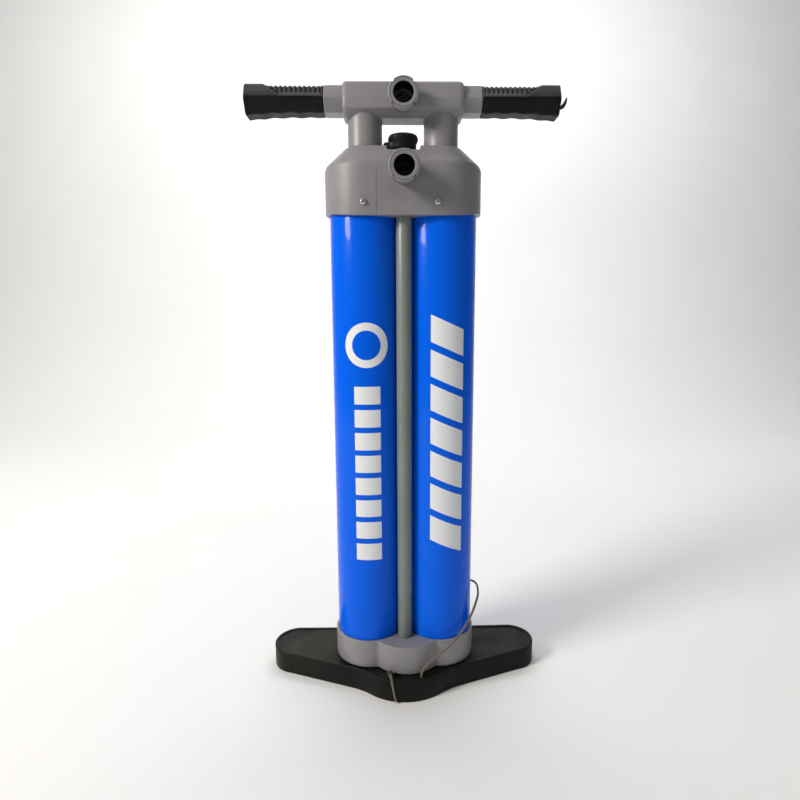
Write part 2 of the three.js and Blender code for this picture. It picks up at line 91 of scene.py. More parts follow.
# ---- Node materials -------------------------------------------------------------------------------------
class Shader:
    """A Principled material with short helpers for the nodes that vary it over the surface."""

    def __init__(self, name, color, roughness, **sockets):
        self.material = bpy.data.materials.new(name)
        self.material.use_nodes = True
        self.tree = self.material.node_tree
        self.shader = self.tree.nodes["Principled BSDF"]
        self.shader.inputs["Base Color"].default_value = (*color, 1)
        self.shader.inputs["Roughness"].default_value = roughness
        for socket, value in sockets.items():
            self.shader.inputs[socket.replace("_", " ")].default_value = value
        self.place = self.tree.nodes.new("ShaderNodeTexCoord").outputs["Object"]

    def node(self, kind, inputs=None, **settings):
        made = self.tree.nodes.new(kind)
        for key, value in settings.items():
            setattr(made, key, value)
        for key, value in (inputs or {}).items():
            if isinstance(value, bpy.types.NodeSocket):
                self.tree.links.new(value, made.inputs[key])
            else:
                made.inputs[key].default_value = value
        return made

    def axes(self, vector):
        """The X, Y and Z of a vector."""
        split = self.node("ShaderNodeSeparateXYZ", {"Vector": vector}).outputs
        return split["X"], split["Y"], split["Z"]

    def upward(self):
        """How far the surface faces up: 1 on a level top, 0 on a wall."""
        return self.axes(self.node("ShaderNodeNewGeometry").outputs["Normal"])[2]

    def scaled(self, x, y, z, turn=(0, 0, 0)):
        mapping = self.node("ShaderNodeMapping", {
            "Vector": self.place, "Scale": (x, y, z), "Rotation": turn})
        return mapping.outputs["Vector"]

    def noise(self, scale, detail=3, stretch=(1, 1, 1), distortion=0.0):
        made = self.node("ShaderNodeTexNoise", {
            "Vector": self.scaled(*stretch), "Scale": scale, "Detail": detail, "Distortion": distortion})
        return made.outputs["Fac"]

    def ramp(self, value, low, high, start=0.0, end=1.0):
        made = self.node("ShaderNodeMapRange", {
            "Value": value, "From Min": low, "From Max": high, "To Min": start, "To Max": end})
        return made.outputs["Result"]

    def math(self, operation, a, b=0.0):
        return self.node("ShaderNodeMath", {0: a, 1: b}, operation=operation).outputs["Value"]

    def plus(self, a, b):
        return self.math("ADD", a, b)

    def minus(self, a, b):
        return self.math("SUBTRACT", a, b)

    def times(self, a, b):
        return self.math("MULTIPLY", a, b)

    def between(self, value, low, high):
        """1 where the value lies between low and high, 0 elsewhere."""
        return self.times(self.math("GREATER_THAN", value, low), self.math("LESS_THAN", value, high))

    def distance(self, a, b):
        """How far the point (a, b) is from the origin."""
        return self.math("SQRT", self.plus(self.times(a, a), self.times(b, b)))

    def mix(self, amount, a, b):
        rgba = {6: a if isinstance(a, bpy.types.NodeSocket) else (*a, 1),
                7: b if isinstance(b, bpy.types.NodeSocket) else (*b, 1)}
        return self.node("ShaderNodeMix", {0: amount, **rgba}, data_type="RGBA").outputs[2]

    def color(self, value):
        self.tree.links.new(value, self.shader.inputs["Base Color"])

    def roughness(self, value):
        self.tree.links.new(value, self.shader.inputs["Roughness"])

    def bump(self, height, strength, distance_mm, below=None):
        inputs = {"Height": height, "Strength": strength, "Distance": distance_mm * MM}
        if below:
            inputs["Normal"] = below
        made = self.node("ShaderNodeBump", inputs)
        self.tree.links.new(made.outputs["Normal"], self.shader.inputs["Normal"])
        return made.outputs["Normal"]


GREY, BLACK = (0.255, 0.245, 0.257), (0.006, 0.006, 0.006)
BLUE, DEEP_BLUE, WHITE_INK = (0.001, 0.135, 0.9), (0.001, 0.11, 0.8), (0.86, 0.88, 0.9)
# Pale colours: the black moulding's dust and painted highlight, and the rubber's bloom and painted top
# light.
DUST_AND_HIGHLIGHT, BLOOM_AND_TOP_LIGHT = (0.16, 0.15, 0.12), (0.094, 0.095, 0.104)


def painted_bore_shade(s, z):
    """The mask of the painted shade in a hose bore: 1 on the wall of the bore whose axis runs along y at
    height z, 0 outside it.
    """
    x, _, height = s.axes(s.place)
    away = s.distance(x, s.minus(height, z * MM))
    return s.ramp(away, (PORT_BORE_R + 0.1) * MM, (PORT_BORE_R + 0.25) * MM, 1.0, 0.0)


def grey_plastic(name, color, roughness, bore_z=None):
    """Moulded ABS: faint cloudy tone, fine moulding grain, hairline scuffs and a little dust; with bore_z,
    the hose bore's wall is painted black as painted shade.
    """
    s = Shader(name, color, roughness, Specular_IOR_Level=0.5)
    cloud = s.noise(14, 4)
    tone = s.mix(s.ramp(cloud, 0.3, 0.7), tuple(c * 0.9 for c in color), tuple(c * 1.1 for c in color))
    dust = s.ramp(s.noise(60, 6, distortion=0.6), 0.58, 0.78)
    dusty = tuple(min(1, c * 1.25 + 0.02) for c in color)
    tone = s.mix(s.times(dust, 0.45), tone, dusty)
    # With bore_z, the bore's wall is painted black: painted shade inside the port.
    s.color(s.mix(painted_bore_shade(s, bore_z), tone, BLACK) if bore_z else tone)
    scuffs = s.noise(420, 2, stretch=(1, 1, 0.06), distortion=0.4)
    s.roughness(s.plus(s.ramp(cloud, 0.3, 0.7, roughness - 0.06, roughness + 0.05),
                       s.ramp(scuffs, 0.6, 0.8, 0, 0.12)))
    grain = s.bump(s.noise(2600, 2), 0.1, 0.08)
    s.bump(scuffs, 0.04, 0.08, below=grain)
    return s.material


def glossy_barrel(name, art):
    """Glossy coated tube with plain white blocks down its front."""
    s = Shader(name, BLUE, 0.24, Coat_Weight=0.14, Coat_Roughness=0.04, Specular_IOR_Level=0.05)
    streak = s.ramp(s.noise(7, 4, stretch=(1, 1, 0.12)), 0.3, 0.7)
    coat = s.mix(streak, DEEP_BLUE, BLUE)
    white = art(s)
    worn = s.ramp(s.noise(700, 3, distortion=0.5), 0.66, 0.72)
    ink = s.times(white, s.minus(1.0, s.times(worn, 0.5)))
    s.color(s.mix(ink, coat, WHITE_INK))
    marks = s.noise(300, 3, stretch=(1, 1, 0.08), distortion=0.8)
    s.roughness(s.plus(s.ramp(marks, 0.55, 0.75, 0.2, 0.34), s.times(ink, 0.12)))
    s.bump(s.noise(90, 2, stretch=(1, 1, 0.15)), 0.05, 0.15)
    return s.material


def blocks(across, up, pitch, fill, slant=0.0, ring=None):
    """Blocks of one plain shape stacked up a band on a barrel's front, with or without a ring above.

    across and up are the band's lowest and highest x and z. Each block fills the share fill of its pitch,
    and its edges fall by slant as they go right. A ring is (x, z, inner radius, outer radius).
    """
    def art(s):
        x, y, z = s.axes(s.place)
        inside = s.between(x, across[0] * MM, across[1] * MM)
        along = s.plus(z, s.times(s.minus(x, across[0] * MM), slant))
        high = s.between(along, up[0] * MM, up[1] * MM)
        phase = s.math("FRACT", s.math("DIVIDE", s.minus(along, up[0] * MM), pitch * MM))
        white = s.times(s.math("LESS_THAN", phase, fill), s.times(inside, high))
        if ring:
            x_mid, z_mid, inner, outer = (value * MM for value in ring)
            turned = s.math("ARCSINE", s.math("DIVIDE", s.minus(x, x_mid), BARREL_R * MM))
            away = s.distance(s.times(turned, BARREL_R * MM), s.minus(z, z_mid))
            white = s.math("MAXIMUM", white, s.between(away, inner, outer))
        front = s.math("LESS_THAN", y, 0.0)
        return s.times(front, white)
    return art


def black_moulding(name, color, roughness, dust_and_highlight_amount):
    """Black polypropylene with a grained skin, pale scratches and dust on faces that look up, the dust
    paled up towards the left as a painted highlight.
    """
    s = Shader(name, color, roughness, Specular_IOR_Level=0.15)
    grime = s.ramp(s.noise(22, 6, distortion=0.8), 0.42, 0.74)
    # Painted highlight: the pale dust grows about eight times stronger towards the left, the side the key
    # light falls on.
    leftward_highlight = s.ramp(s.axes(s.place)[0], 0.02, -0.15, 0.12, 1.0)
    level = s.ramp(s.upward(), 0.3, 0.9, 0.3, 1.0)
    dust_and_highlight = s.times(s.times(grime, leftward_highlight), s.times(level, dust_and_highlight_amount))
    scratch = s.ramp(s.noise(160, 4, stretch=(1, 0.05, 1), distortion=1.4), 0.7, 0.76)
    pale = s.plus(dust_and_highlight, s.times(scratch, 0.22 * dust_and_highlight_amount))
    s.color(s.mix(s.math("MINIMUM", pale, 1.0), color, DUST_AND_HIGHLIGHT))
    s.roughness(s.ramp(grime, 0, 1, roughness - 0.08, roughness + 0.2))
    grain = s.bump(s.noise(1500, 3), 0.25, 0.12)
    s.bump(scratch, 0.12, 0.1, below=grain)
    return s.material


def black_rubber(name, color):
    """Moulded rubber, with a grey bloom that is strongest where it faces up; the greyer upward faces are
    partly painted top light.
    """
    s = Shader(name, color, 0.5, Specular_IOR_Level=0.14)
    patches = s.ramp(s.noise(40, 5, distortion=0.5), 0.35, 0.75)
    # Upward faces are painted greyer: partly the rubber's bloom, partly painted light falling on the top
    # facets.
    bloom_and_top_light_mask = s.times(s.ramp(s.upward(), 0.15, 0.55), s.ramp(patches, 0, 1, 0.75, 1.0))
    base = s.mix(patches, color, tuple(c * 1.6 + 0.002 for c in color))
    s.color(s.mix(bloom_and_top_light_mask, base, BLOOM_AND_TOP_LIGHT))
    s.roughness(s.ramp(patches, 0, 1, 0.4, 0.58))
    s.bump(s.noise(2200, 3), 0.3, 0.1)
    return s.material


def bright_metal(name):
    """Plated steel, brushed, with darker flecks."""
    s = Shader(name, (0.68, 0.67, 0.64), 0.28, Metallic=1.0)
    brushed = s.noise(900, 3, stretch=(1, 1, 0.1))
    s.color(s.mix(s.ramp(s.noise(500, 3), 0.4, 0.8), (0.72, 0.71, 0.68), (0.45, 0.42, 0.38)))
    s.roughness(s.ramp(brushed, 0.3, 0.7, 0.2, 0.42))
    s.bump(brushed, 0.08, 0.05)
    return s.material


def nylon(name):
    """Off-white nylon, faintly cloudy."""
    s = Shader(name, (0.78, 0.76, 0.69), 0.42, Subsurface_Weight=0.05)
    cloud = s.ramp(s.noise(50, 4), 0.3, 0.7)
    s.color(s.mix(cloud, (0.72, 0.7, 0.62), (0.82, 0.8, 0.74)))
    s.roughness(s.ramp(cloud, 0, 1, 0.36, 0.5))
    s.bump(s.noise(1800, 2), 0.1, 0.06)
    return s.material


def braid(name, light, dark):
    """Twisted cord: slanted strands with painted shade in the dark between them, and loose fuzz."""
    s = Shader(name, light, 0.85, Sheen_Weight=0.3)
    strands = s.node("ShaderNodeTexWave", {
        "Vector": s.scaled(1, 1, 1, (0.6, 0.5, 0.7)), "Scale": 420, "Distortion": 1.2, "Detail": 2.0,
        "Detail Scale": 2.0}, wave_type="BANDS", bands_direction="DIAGONAL").outputs["Fac"]
    fuzz = s.noise(2400, 3)
    # The dark between the strands is painted shade in the grooves of the twist.
    s.color(s.mix(s.times(strands, s.ramp(fuzz, 0.3, 0.7, 0.6, 1.0)), dark, light))
    s.roughness(s.ramp(fuzz, 0.3, 0.7, 0.75, 0.95))
    s.bump(s.plus(strands, s.times(fuzz, 0.3)), 0.6, 0.25)
    return s.material


LEFT_ART = blocks(across=(-52, -25), up=(150, 343), pitch=24.3, fill=0.76, ring=(-HALF_PITCH, 381, 15, 23))
RIGHT_ART = blocks(across=(27, 61), up=(172, 418), pitch=35.4, fill=0.78, slant=0.45)
LOOKS = {
    "grey_plastic": grey_plastic("grey_plastic", GREY, 0.4),
    "lower_port": grey_plastic("lower_port", GREY, 0.4, bore_z=LOWER_PORT["z"]),
    "upper_port": grey_plastic("upper_port", GREY, 0.4, bore_z=UPPER_PORT["z"]),
    "grey_tube": grey_plastic("grey_tube", (0.2, 0.23, 0.21), 0.32),
    "barrel_left": glossy_barrel("barrel_left", LEFT_ART),
    "barrel_right": glossy_barrel("barrel_right", RIGHT_ART),
    "black_plastic": black_moulding("black_plastic", (0.005, 0.006, 0.0048), 0.46, 0.26),
    "black_knob": black_moulding("black_knob", (0.014, 0.014, 0.015), 0.4, 0.05),
    "black_rubber": black_rubber("black_rubber", (0.005, 0.005, 0.0048)),
    "steel": bright_metal("steel"),
    "white_nylon": nylon("white_nylon"),
    "tan_cord": braid("tan_cord", (0.36, 0.29, 0.21), (0.035, 0.024, 0.016)),
    "dark_cord": braid("dark_cord", (0.045, 0.03, 0.022), (0.01, 0.008, 0.006)),
}


# ---- Mesh building --------------------------------------------------------------------------------------
def piece(name, mesh, look, body, *nodes):
    """An object on a body, with its material, standing for the CAD nodes that are named."""
    made = bpy.data.objects.new(name, mesh)
    bpy.context.collection.objects.link(made)
    mesh.materials.append(LOOKS[look])
    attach(made, body)
    if nodes:
        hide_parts(*nodes)
    return made


def smooth(mesh, sharp):
    """The mesh shaded smooth, except over edges sharper than the angle in degrees."""
    mesh.polygons.foreach_set("use_smooth", [True] * len(mesh.polygons))
    mesh.set_sharp_from_angle(angle=math.radians(sharp))
    mesh.update()
    return mesh


def mesh_of(name, parts, sharp=32):
    """One mesh from (vertices in mm, faces) pairs, smooth where its faces meet gently."""
    verts, faces = [], []
    for part_verts, part_faces in parts:
        start = len(verts)
        verts += [Vector(v) * MM for v in part_verts]
        faces += [[i + start for i in face] for face in part_faces]
    mesh = bpy.data.meshes.new(name)
    mesh.from_pydata(verts, [], faces)
    tidy = bmesh.new()
    tidy.from_mesh(mesh)
    bmesh.ops.remove_doubles(tidy, verts=tidy.verts, dist=1e-6)
    bmesh.ops.recalc_face_normals(tidy, faces=tidy.faces)
    tidy.to_mesh(mesh)
    tidy.free()
    return smooth(mesh, sharp)


def skin(rings, closed=False):
    """Faces over rings of points; flat caps at both ends unless the rings close on themselves."""
    n, count = len(rings[0]), len(rings)
    verts = [point for ring in rings for point in ring]
    faces = []
    for s in range(count if closed else count - 1):
        low, high = s * n, ((s + 1) % count) * n
        for i in range(n):
            j = (i + 1) % n
            faces.append([low + i, low + j, high + j, high + i])
    if not closed:
        faces.append(list(range(n))[::-1])
        faces.append([(count - 1) * n + i for i in range(n)])
    return verts, faces


def rounded(corners, radius, steps=4, closed=True):
    """Corners of a polyline, each replaced by an arc; radius may be one number or one per corner."""
    out = []
    count = len(corners)
    radii = radius if isinstance(radius, (list, tuple)) else [radius] * count
    for i, corner in enumerate(corners):
        ends = not closed and i in (0, count - 1)
        here = Vector(corner)
        back = Vector(corners[i - 1]) - here
        on = Vector(corners[(i + 1) % count]) - here
        if ends or radii[i] <= 0 or back.length < 1e-6 or on.length < 1e-6:
            out.append(tuple(here))
            continue
        turn = back.angle(on)
        reach = min(radii[i] / math.tan(turn / 2), back.length * 0.48, on.length * 0.48)
        start, end = here + back.normalized() * reach, here + on.normalized() * reach
        for step in range(steps + 1):
            t = step / steps
            out.append(tuple(start * (1 - t) ** 2 + here * 2 * t * (1 - t) + end * t * t))
    return out


def filled(corners, step):
    """A closed outline with points added along its long edges."""
    out = []
    for here, on in zip(corners, corners[1:] + corners[:1]):
        parts = max(1, round(math.dist(here, on) / step))
        out += [tuple(Vector(here).lerp(Vector(on), k / parts)) for k in range(parts)]
    return out


def lathe(profile, sides=FINE, closed=True):
    """A solid of revolution about Z from (radius, height) pairs."""
    rings = []
    for i in range(sides):
        c, s = math.cos(2 * math.pi * i / sides), math.sin(2 * math.pi * i / sides)
        rings.append([(r * c, r * s, z) for r, z in profile])
    n = len(profile)
    verts = [point for ring in rings for point in ring]
    faces = []
    for s in range(sides):
        a, b = s * n, ((s + 1) % sides) * n
        for i in range(n if closed else n - 1):
            j = (i + 1) % n
            faces.append([a + i, b + i, b + j, a + j])
    return verts, faces


def cylinder(r, z0, z1, sides=64):
    return lathe([(0, z0), (r, z0), (r, z1), (0, z1)], sides, closed=False)


def block(x0, x1, y0, y1, z0, z1):
    corners = [(x0, y0), (x1, y0), (x1, y1), (x0, y1)]
    return skin([[(x, y, z) for x, y in corners] for z in (z0, z1)])


def moved(part, matrix):
    verts, faces = part
    return [tuple(matrix @ Vector(v)) for v in verts], faces


def at(x, y, z):
    return Matrix.Translation((x, y, z))


FORWARD = Matrix.Rotation(math.pi / 2, 4, "X")  # turns +Z to -Y


def ring_round(point, side, up, radius, count, flat=1.0):
    """The section of a bent rod at a point of its path: a circle, or an ellipse where flat isn't 1."""
    angles = [2 * math.pi * k / count for k in range(count)]
    return [tuple(point + (side * math.cos(a) * flat + up * math.sin(a)) * radius) for a in angles]


def carve(mesh, cutters, operation="DIFFERENCE", sharp=32):
    """The mesh after a boolean with each cutter, a (vertices, faces) pair in mm."""
    base = bpy.data.objects.new("carve_base", mesh)
    bpy.context.collection.objects.link(base)
    tools = []
    for cutter in cutters:
        tool = bpy.data.objects.new("carve_tool", mesh_of("carve_tool", [cutter]))
        bpy.context.collection.objects.link(tool)
        modifier = base.modifiers.new("carve", "BOOLEAN")
        modifier.operation, modifier.object, modifier.solver = operation, tool, "EXACT"
        tools.append(tool)
    bpy.context.view_layer.update()
    done = bpy.data.meshes.new_from_object(base.evaluated_get(bpy.context.evaluated_depsgraph_get()))
    for spare in [base, *tools]:
        bpy.data.objects.remove(spare)
    done.materials.clear()
    return smooth(done, sharp)


# ---- Outlines that are unions of circles and capsules, blended where they meet --------------------------
def capsule(x, y, start, end):
    """How far a point lies outside the hull of two circles, each (x, y, radius)."""
    (ax, ay, ar), (bx, by, br) = start, end
    dot = (x - ax) * (bx - ax) + (y - ay) * (by - ay)
    along = max(0.0, min(1.0, dot / ((bx - ax) ** 2 + (by - ay) ** 2)))
    away = math.hypot(x - ax - (bx - ax) * along, y - ay - (by - ay) * along)
    return away - (ar + (br - ar) * along)


def blend_min(values, soft):
    """The least of the values, rounded over by soft where two are close."""
    best = values[0]
    for value in values[1:]:
        h = max(0.0, min(1.0, 0.5 + 0.5 * (value - best) / soft))
        best = value + (best - value) * h - soft * h * (1 - h)
    return best


def outline(field, inset, count):
    """The contour at which the field equals minus the inset, one point per direction from the middle."""
    points = []
    for i in range(count):
        angle = 2 * math.pi * i / count
        c, s = math.cos(angle), math.sin(angle)
        low, high = 0.0, 200  # no outline reaches further
        for _ in range(26):
            middle = (low + high) / 2
            if field(middle * c, middle * s) < -inset:
                low = middle
            else:
                high = middle
        points.append((low * c, low * s))
    return points


def shell(field, profile, count=360):
    """A skin whose outline follows the field, from (inset, height) pairs."""
    contours = {}
    rings = []
    for inset, z in profile:
        key = round(inset, 3)
        if key not in contours:
            contours[key] = outline(field, key, count)
        rings.append([(x, y, z) for x, y in contours[key]])
    return skin(rings)


# ---- Foot plate -----------------------------------------------------------------------------------------
LEASH_HOLE_X, LEASH_HOLE_Y = 17.0, -56.3
WING_ROOT, WING_TIP = (40, -1, 44), (127, 15.5, 28)  # circles as (x, y, radius)
RIM = 3.2  # width of the raised rim, and the wall that the ribs end at
DECK_Z = FOOT_TOP - 1.2
RIB_TOP = FOOT_TOP - 4.2


def foot_field(x, y):
    """The foot's outline: two wings, a half round at the front and a short bulge at the rear."""
    wing = capsule(abs(x), y, WING_ROOT, WING_TIP)
    front = max(math.hypot(x, y + 5) - 60.5, y - 5)
    rear = math.hypot(x, y - 12) - 38
    return blend_min([wing, front, rear], 7) + 0.35


def foot_plate():
    """A hollow shell open below, its deck a little lower than its rim, with two holes for the leash."""
    outside = [(0, 0), (0, FOOT_TOP), (RIM, FOOT_TOP), (4.4, DECK_Z)]
    rim = rounded(outside, [0.8, 1.3, 0.5, 0.5], 4, closed=False)
    inside = [(3, FOOT_TOP - 4), (3, 0.6), (2.6, 0)]
    lower_edge = [(0.9, 0), (0.3, 0.3), (0, 1.1)]
    profile = inside + lower_edge + rim[1:] + [(7, DECK_Z)]
    body = mesh_of("foot_plate", [shell(foot_field, profile)], 40)
    hole = cylinder(2.5, 15, 30, 32)
    holes = [moved(hole, at(side * LEASH_HOLE_X, LEASH_HOLE_Y, 0)) for side in (-1, 1)]
    return carve(body, holes, sharp=40)


def rib_span(along, fixed, reach):
    """How far a rib at the fixed coordinate runs each way before it meets the foot's wall."""
    ends = []
    for direction in (-1, 1):
        distance = 0.0
        while distance < reach:
            point = (direction * distance, fixed) if along == "x" else (fixed, direction * distance)
            if foot_field(*point) > -RIM:
                break
            distance += 0.5
        ends.append(direction * distance)
    return ends


def foot_ribs():
    """Ribs and screw bosses under the deck. The middle rib is cut low where the leash crosses it."""
    low, high = rib_span("x", 0, 170)
    parts = [block(low, high, -1.4, 1.4, 0, RIB_TOP)]
    for x in (-120, -88, -56, 0, 56, 88, 120):
        low, high = rib_span("y", x, 80)
        stretches = [(max(low, -50), -1.45, RIB_TOP)]
        if x == 0:
            stretches = [(low, -57.2, RIB_TOP), (-57.15, -52.8, 16.3), (-52.75, -1.45, RIB_TOP)]
        for y0, y1, top in [*stretches, (1.45, high, RIB_TOP)]:
            parts.append(block(x - 1.2, x + 1.2, y0, y1, 0, top))
    boss = lathe([(4.2, 8), (6, 8), (6, RIB_TOP), (2.1, RIB_TOP), (2.1, 12), (4.2, 12)], 32)
    for x in (-HALF_PITCH, HALF_PITCH):
        for y in (-19, 21):
            parts.append(moved(boss, at(x, y, 0)))
    return mesh_of("foot_ribs", parts)


piece("foot_plate_shell", foot_plate(), "black_plastic", "pump_body", "foot_plate")
piece("foot_ribs", foot_ribs(), "black_plastic", "pump_body")


# ---- Base -----------------------------------------------------------------------------------------------
def base_field(x, y):
    """The base's outline: a round socket for each barrel, a front lobe, and the rear crevice filled in."""
    socket = math.hypot(abs(x) - HALF_PITCH, y) - 40.25
    front = math.hypot(x - 2, y + 12.5) - 41.5
    back = max(abs(x) - 22, abs(y - 15) - 15)
    return min(blend_min([socket, front], 2.5) + 0.15, back)


def base_manifold():
    """The casting with its sockets for the barrels and the transfer tube."""
    top = rounded([(0, 25.3), (0, 56), (6, 56)], [0.6, 1.1, 0], 4, closed=False)
    profile = [(5, 25.3), (0.5, 25.3), (0.1, 25.7)] + top[1:]
    body = mesh_of("base_manifold", [shell(base_field, profile)], 40)
    barrel_way = cylinder(BARREL_R + FIT, 35, 60, FINE)
    cutters = [moved(barrel_way, at(side * HALF_PITCH, 0, 0)) for side in (-1, 1)]
    cutters.append(moved(cylinder(TUBE_R + FIT, 39.4, 60), at(0, TUBE_Y, 0)))
    return carve(body, cutters, sharp=35)


piece("base_casting", base_manifold(), "grey_plastic", "pump_body", "base_manifold")


# ---- Barrels and transfer tube --------------------------------------------------------------------------
def pipe(name, r, wall, z0, z1, x, y, edge, sides):
    """An upright tube with slightly rounded edges."""
    corners = [(r - wall, z0), (r, z0), (r, z1), (r - wall, z1)]
    return mesh_of(name, [moved(lathe(rounded(corners, edge, 2), sides), at(x, y, 0))])


for label, side in SIDES:
    tube = pipe("barrel", BARREL_R, 2.5, 37.7, 525.3, side * HALF_PITCH, 0, 0.4, 128)
    piece("barrel_" + label + "_tube", tube, "barrel_" + label, "pump_body", "barrel_" + label)
tube = pipe("transfer_pipe", TUBE_R, 1.6, 42, 526, 0, TUBE_Y, 0.3, 64)
piece("transfer_pipe", tube, "grey_tube", "pump_body", "transfer_tube")


# ---- Head -----------------------------------------------------------------------------------------------
def stadium(inset, z, steps=48):
    """The head's outline at a height: a half round about each barrel's axis, joined by straight sides."""
    points = []
    for side in (1, -1):
        for i in range(steps + 1):
            angle = (i / steps - 0.5) * math.pi
            r = HEAD_R - inset
            points.append((side * (HALF_PITCH + r * math.cos(angle)), side * r * math.sin(angle), z))
    return points


def head():
    """The casting on top of the barrels, with sloped shoulders and a shallow saddle for the knob."""
    corners = [(6, HEAD_BOTTOM), (0, HEAD_BOTTOM), (0, 555.5), (1.5, 559.5),
               (HEAD_R - 21, HEAD_TOP), (HEAD_R - 12, HEAD_TOP)]
    profile = rounded(corners, [0, 0.7, 5, 3.5, 2.2, 0], 5, closed=False)
    body = mesh_of("pump_head", [skin([stadium(inset, z) for inset, z in profile])], 35)
    saddle = rounded([(-17, 572.5), (17, 572.5), (17, 590), (-17, 590)], [3, 3, 0, 0], 5)
    cutters = [skin([[(x, y, z) for x, z in saddle] for y in (-60, 60)])]
    cutters.append(moved(cylinder(TUBE_R + FIT, 500, 528.6), at(0, TUBE_Y, 0)))
    port_root = at(0, LOWER_PORT["root"], LOWER_PORT["z"]) @ FORWARD
    cutters.append(moved(cylinder(PORT_R + FIT, 0, 20), port_root))
    cutters.append(moved(cylinder(DUCT_R, -21, 1), port_root))
    spindle_way = cylinder(3.2, 550, 590, 32)
    cutters.append(spindle_way)
    for side in (-1, 1):
        # The lower edge rises towards each end of the head.
        arch = [(side * (HALF_PITCH + away), HEAD_BOTTOM + 5.5 * (away / HEAD_R) ** 2)
                for away in range(0, 45, 2)]
        arch += [(side * (HALF_PITCH + 44), 500), (side * HALF_PITCH, 500)]
        cutters.append(skin([[(x, y, z) for x, z in arch] for y in (-60, 60)]))
        cutters.append(moved(cylinder(BARREL_R + FIT, 500, 528, FINE), at(side * HALF_PITCH, 0, 0)))
        # Above the barrel: its air space, the seat of the guide bush, and the shaft's way out.
        shaft_way = [(0, 527), (35, 527), (35, 545), (24, 545), (24, 563), (18.2, 563), (18.2, 576.6),
                     (19.4, 578.2), (19.4, 590), (0, 590)]
        cutters.append(moved(lathe(shaft_way, FINE, closed=False), at(side * HALF_PITCH, 0, 0)))
    return carve(body, cutters, sharp=30)


def cross_head_screw(x, face):
    """A screw in the head's front or rear face, its cross turned a little differently at each place."""
    profile = rounded([(0, 0), (1.45, 0), (1.45, 6.5), (3, 6.5), (3, 7.6), (1.9, 8.7), (0, 8.9)],
                      [0, 0, 0, 0.2, 0.6, 0.6, 0], 3, closed=False)
    slots = [block(-1.7, 1.7, -0.3, 0.3, 7.6, 10), block(-0.3, 0.3, -1.7, 1.7, 7.6, 10)]
    mesh = carve(mesh_of("head_screw", [lathe(profile, 40, closed=False)]), slots, sharp=30)
    turn = Matrix.Rotation(0.5 + x, 4, "Z")
    facing = FORWARD if face < 0 else FORWARD.inverted()
    seat = at(x, face * (HEAD_R - 6.2), 520.5)
    mesh.transform(Matrix.Scale(MM, 4) @ seat @ facing @ turn @ Matrix.Scale(1 / MM, 4))
    return mesh


piece("head_casting", head(), "grey_plastic", "pump_body", "pump_head")
collar = lathe(rounded([(3.2, 572.7), (16.5, 572.7), (16.5, 573.7), (3.2, 573.7)], 0.4, 3), 64)
piece("selector_collar", mesh_of("selector_collar", [collar]), "grey_plastic", "pump_body")
# The raised moulding line down the front of the head, left of the hose port.
seam = block(-27.45, -26.95, -HEAD_R - 0.25, -HEAD_R + 0.4, 508.8, 552)
piece("head_seam", mesh_of("head_seam", [seam]), "grey_plastic", "pump_body")
HEAD_SCREWS = (("front_left", -40, -1), ("front_right", 33, -1),
               ("rear_left", -HALF_PITCH, 1), ("rear_right", HALF_PITCH, 1))
for label, x, face in HEAD_SCREWS:
    piece("screw_" + label, cross_head_screw(x, face), "steel", "pump_body", "head_screw_" + label)


# ---- Hose ports -----------------------------------------------------------------------------------------
def hose_port(name, port):
    """A tube with a flange at its mouth, four notches in the flange's rim and a groove in its face."""
    length = port["root"] - port["face"]
    corners = [(PORT_BORE_R, 0), (PORT_R, 0), (PORT_R, length - FLANGE_L), (FLANGE_R, length - FLANGE_L),
               (FLANGE_R, length), (PORT_BORE_R, length)]
    wall = lathe(rounded(corners, [0, 0, 0.9, 0.8, 1.1, 0.9], 4), FINE)
    notch = block(13.5, 17, -1.7, 1.7, length - 7, length + 1)
    cuts = [moved(notch, Matrix.Rotation(turn * math.pi, 4, "Z")) for turn in (0.25, 0.75, 1.25, 1.75)]
    groove = [(12.9, length - 0.5), (13.5, length - 0.5), (13.5, length + 1), (12.9, length + 1)]
    cuts.append(lathe(groove))
    root = at(0, port["root"], port["z"]) @ FORWARD
    return carve(mesh_of(name, [moved(wall, root)]), [moved(cut, root) for cut in cuts], sharp=35)


piece("deflate_socket", hose_port("deflate_socket", LOWER_PORT), "lower_port", "pump_body", "deflate_port")
piece("inflate_socket", hose_port("inflate_socket", UPPER_PORT), "upper_port", "handle", "inflate_port")

# ---- Handle ---------------------------------------------------------------------------------------------
BODY_FACETS = [(-11, 606.3), (11, 606.3), (21, 613), (21.5, 622), (17.5, 637.5), (13.5, 640),
               (-13.5, 640), (-17.5, 637.5), (-21.5, 622), (-21, 613)]
NECK_FACETS = [(-9, 612), (9, 612), (17, 623.5), (10, 637.5), (-10, 637.5), (-17, 623.5)]
BODY_STATIONS = [(-60, 0.88), (-59.3, 0.935), (-57.8, 0.975), (-55.5, 1), (55.5, 1), (57.8, 0.975),
                 (59.3, 0.935), (60, 0.88)]
NECK_STATIONS = [(-79, 0.965), (-78.2, 1), (78.2, 1), (79, 0.965)]


def along_handle(facets, stations):
    """A bar with one section along x, scaled about the handle's axis at each (x, size)."""
    return skin([[(x, y * size, HANDLE_Z + (z - HANDLE_Z) * size) for y, z in facets]
                 for x, size in stations])


